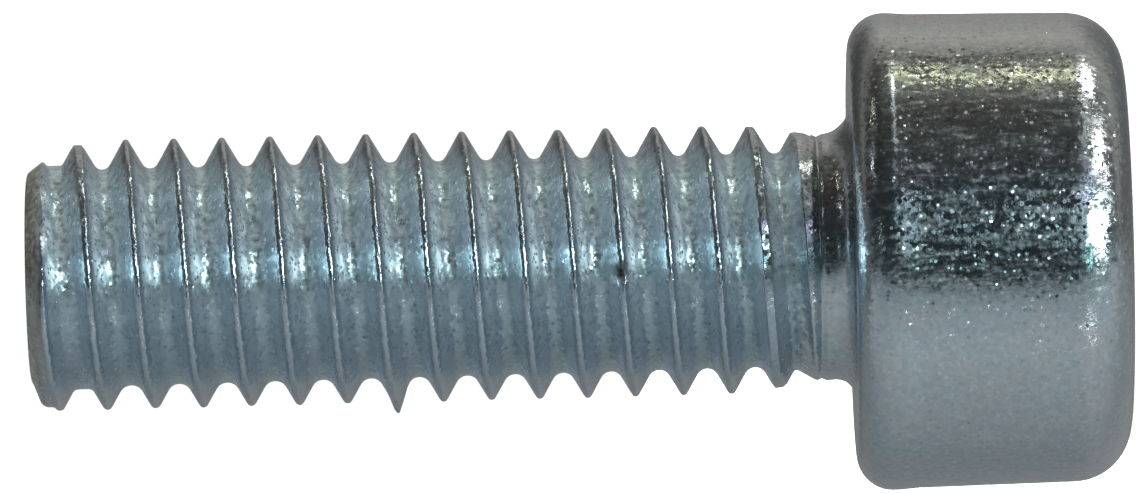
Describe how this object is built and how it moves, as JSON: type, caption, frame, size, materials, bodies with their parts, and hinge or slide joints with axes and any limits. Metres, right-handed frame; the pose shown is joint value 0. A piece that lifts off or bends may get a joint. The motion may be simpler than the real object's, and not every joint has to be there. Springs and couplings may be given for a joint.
{
  "type": "socket head cap screw",
  "caption": "Short cylindrical-head screw with a hexagon socket and a right-hand metric thread up to its head, bright zinc plated.",
  "frame": {"origin": "middle of the head's flat driving end, which the screw stands on", "axes": "+Z along the screw's axis, from the head to the tip of the thread; two of the socket's flats face +Y and -Y"},
  "size_m": [0.007, 0.007, 0.016],
  "materials": {
    "zinc_plate": "bright zinc plate with a pale blue passivation, satin"
  },
  "bodies": {
    "root": {"cap_screw": "zinc_plate"}
  },
  "joints": []
}
